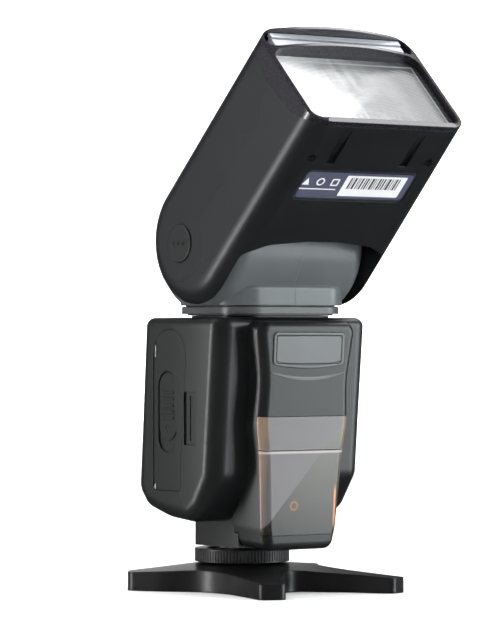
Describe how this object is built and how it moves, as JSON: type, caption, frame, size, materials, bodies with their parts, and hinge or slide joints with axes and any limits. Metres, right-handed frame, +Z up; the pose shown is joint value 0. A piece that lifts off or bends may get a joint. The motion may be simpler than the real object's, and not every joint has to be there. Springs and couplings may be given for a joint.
{
  "type": "speedlight flash",
  "caption": "Shoe-mount camera flash with tilting, swivelling head, smoked infrared window, side battery door and knurled lock wheel, standing on a bow-tie table stand",
  "frame": {"origin": "Centre of the mouth of the tripod thread under the table stand, level with the table", "axes": "+Z up; the infrared window and the lens side face -Y; the battery door is on -X, the sockets on +X"},
  "size_m": [0.0878, 0.1131, 0.21],
  "materials": {
    "stand_plastic": "fine grained black plastic",
    "brass": "machined brass",
    "foot_metal": "dark anodised metal",
    "gold_contacts": "gold-plated contacts",
    "ring_plastic": "knurled dark grey plastic",
    "steel": "bright steel",
    "black_screw": "blackened steel",
    "case_plastic": "fine grained dark grey plastic",
    "head_plastic": "fine grained near-black plastic",
    "neck_plastic": "satin mid grey plastic",
    "collar_plastic": "satin dark grey plastic",
    "latch_plastic": "satin dark plastic",
    "inner_black": "matte black inner moulding",
    "plate_grey": "semi-gloss grey name plate, left blank",
    "smoked_window": "smoked infrared window",
    "lamp_red": "red lamp lens",
    "sensor_dark": "dark sensor lens",
    "cell_wrap": "plain battery sleeve",
    "nickel": "nickel plate",
    "board_green": "green circuit board",
    "capacitor_sleeve": "capacitor sleeve",
    "display_glass": "clear display window",
    "display_grey": "grey-green display, switched off",
    "key_rubber": "moulded rubber keys",
    "port_rubber": "soft black rubber",
    "label_film": "indigo-grey rating label, no text",
    "bezel_gloss": "glossy black bezel",
    "clear_lens": "clear moulded acrylic",
    "white_card": "white card",
    "reflector_metal": "bright aluminium",
    "motor_can": "plated motor can"
  },
  "bodies": {
    "stand_base": {"stand": "stand_plastic", "stand_insert": "brass"},
    "flash_body": {"shoe_foot": "foot_metal", "foot_block": "case_plastic", "foot_screws": "steel", "front_case": "case_plastic", "rear_case": "case_plastic", "window_upper": "smoked_window", "window_lower": "smoked_window", "window_tray": "inner_black", "focus_lamp": "lamp_red", "slave_sensor": "sensor_dark", "name_plate": "plate_grey", "battery_box": "inner_black", "battery_cells": "cell_wrap", "bay_contacts": "nickel", "door_pin": "steel", "main_board": "board_green", "power_board": "board_green", "key_board": "board_green", "flash_capacitor": "capacitor_sleeve", "display_window": "display_glass", "display_panel": "display_grey", "side_sockets": "nickel", "case_screws": "steel"},
    "lock_wheel": {"lock_ring": "ring_plastic"},
    "locking_pin": {"lock_pin": "steel"},
    "shoe_pins": {"contact_pins": "gold_contacts"},
    "door": {"battery_door": "case_plastic", "door_contacts": "nickel"},
    "latch": {"door_latch": "latch_plastic"},
    "key_one": {"soft_key_1": "key_rubber"},
    "key_two": {"soft_key_2": "key_rubber"},
    "key_three": {"soft_key_3": "key_rubber"},
    "pad": {"arrow_pad": "key_rubber"},
    "set_button": {"set_key": "key_rubber"},
    "test_key": {"test_button": "lamp_red"},
    "switch": {"power_switch": "latch_plastic"},
    "port_flap": {"port_cover": "port_rubber"},
    "neck": {"swivel_collar": "collar_plastic", "swivel_hub": "foot_metal", "neck_left": "neck_plastic", "neck_right": "neck_plastic", "tilt_axle": "steel"},
    "head": {"head_upper": "head_plastic", "head_lower": "head_plastic", "rating_label": "label_film", "head_screws": "black_screw", "pivot_cap": "latch_plastic", "front_bezel": "bezel_gloss", "fresnel_lens": "clear_lens", "guide_rods": "steel", "zoom_motor": "motor_can"},
    "tilt_release": {"release_button": "latch_plastic"},
    "wide_screen": {"wide_panel": "clear_lens"},
    "card": {"bounce_card": "white_card"},
    "zoom_unit": {"zoom_carriage": "inner_black", "reflector": "reflector_metal", "flash_tube": "clear_lens"},
    "zoom_screw": {"lead_screw": "steel"}
  },
  "joints": [
    {"name": "shoe_slide", "type": "slide", "parent": "stand_base", "child": "flash_body", "axis": [0, 1, 0], "range_m": [0, 0.022]},
    {"name": "lock_wheel_turn", "type": "hinge", "parent": "flash_body", "child": "lock_wheel", "pos_m": [0, 0, 0.0128], "axis": [0, 0, 1], "range_deg": [0, 90]},
    {"name": "lock_pin_drop", "type": "slide", "parent": "flash_body", "child": "locking_pin", "axis": [0, 0, -1], "range_m": [0, 0.00162]},
    {"name": "contact_press", "type": "slide", "parent": "flash_body", "child": "shoe_pins", "axis": [0, 0, 1], "range_m": [0, 0.0004], "stiffness_N_per_m": 400},
    {"name": "door_swing", "type": "hinge", "parent": "flash_body", "child": "door", "pos_m": [-0.0348, 0.0079, 0.064], "axis": [0, 0, -1], "range_deg": [0, 90]},
    {"name": "latch_slide", "type": "slide", "parent": "door", "child": "latch", "axis": [0, 0, -1], "range_m": [0, 0.004]},
    {"name": "key_one_press", "type": "slide", "parent": "flash_body", "child": "key_one", "axis": [0, -0.998, -0.0639], "range_m": [0, 0.0005], "stiffness_N_per_m": 400},
    {"name": "key_two_press", "type": "slide", "parent": "flash_body", "child": "key_two", "axis": [0, -0.998, -0.0639], "range_m": [0, 0.0005], "stiffness_N_per_m": 400},
    {"name": "key_three_press", "type": "slide", "parent": "flash_body", "child": "key_three", "axis": [0, -0.998, -0.0639], "range_m": [0, 0.0005], "stiffness_N_per_m": 400},
    {"name": "pad_press", "type": "slide", "parent": "flash_body", "child": "pad", "axis": [0, -0.998, -0.0639], "range_m": [0, 0.0004], "stiffness_N_per_m": 400},
    {"name": "set_press", "type": "slide", "parent": "flash_body", "child": "set_button", "axis": [0, -0.998, -0.0639], "range_m": [0, 0.0004], "stiffness_N_per_m": 400},
    {"name": "test_press", "type": "slide", "parent": "flash_body", "child": "test_key", "axis": [0, -0.998, -0.0639], "range_m": [0, 0.0004], "stiffness_N_per_m": 400},
    {"name": "switch_slide", "type": "slide", "parent": "flash_body", "child": "switch", "axis": [1, 0, 0], "range_m": [0, 0.0052]},
    {"name": "port_flap_swing", "type": "hinge", "parent": "flash_body", "child": "port_flap", "pos_m": [0.03492, -0.02183, 0.073], "axis": [0, 0, -1], "range_deg": [0, 60], "stiffness_Nm_per_rad": 0.0006},
    {"name": "swivel", "type": "hinge", "parent": "flash_body", "child": "neck", "pos_m": [0, -0.0115, 0.1041], "axis": [0, 0, 1], "range_deg": [-90, 180]},
    {"name": "head_tilt", "type": "hinge", "parent": "neck", "child": "head", "pos_m": [0, -0.0115, 0.1306], "axis": [-1, 0, 0], "range_deg": [-45, 45]},
    {"name": "release_press", "type": "slide", "parent": "head", "child": "tilt_release", "axis": [1, 0, 0], "range_m": [0, 0.0014], "stiffness_N_per_m": 600},
    {"name": "wide_panel_pull", "type": "slide", "parent": "head", "child": "wide_screen", "axis": [0, -0.7071, 0.7071], "range_m": [0, 0.042]},
    {"name": "bounce_card_pull", "type": "slide", "parent": "head", "child": "card", "axis": [0, -0.7071, 0.7071], "range_m": [0, 0.042]},
    {"name": "zoom_travel", "type": "slide", "parent": "head", "child": "zoom_unit", "axis": [0, -0.7071, 0.7071], "range_m": [0, 0.016]},
    {"name": "zoom_screw_turn", "type": "hinge", "parent": "head", "child": "zoom_screw", "pos_m": [0.024, -0.06771, 0.15924], "axis": [0, -0.7071, 0.7071], "range_deg": [0, 1441.5]}
  ],
  "couplings": [
    {"joint": "lock_pin_drop", "follows": "lock_wheel_turn", "m_per_rad": 0.0010186},
    {"joint": "zoom_screw_turn", "follows": "zoom_travel", "rad_per_m": 1570.8}
  ]
}
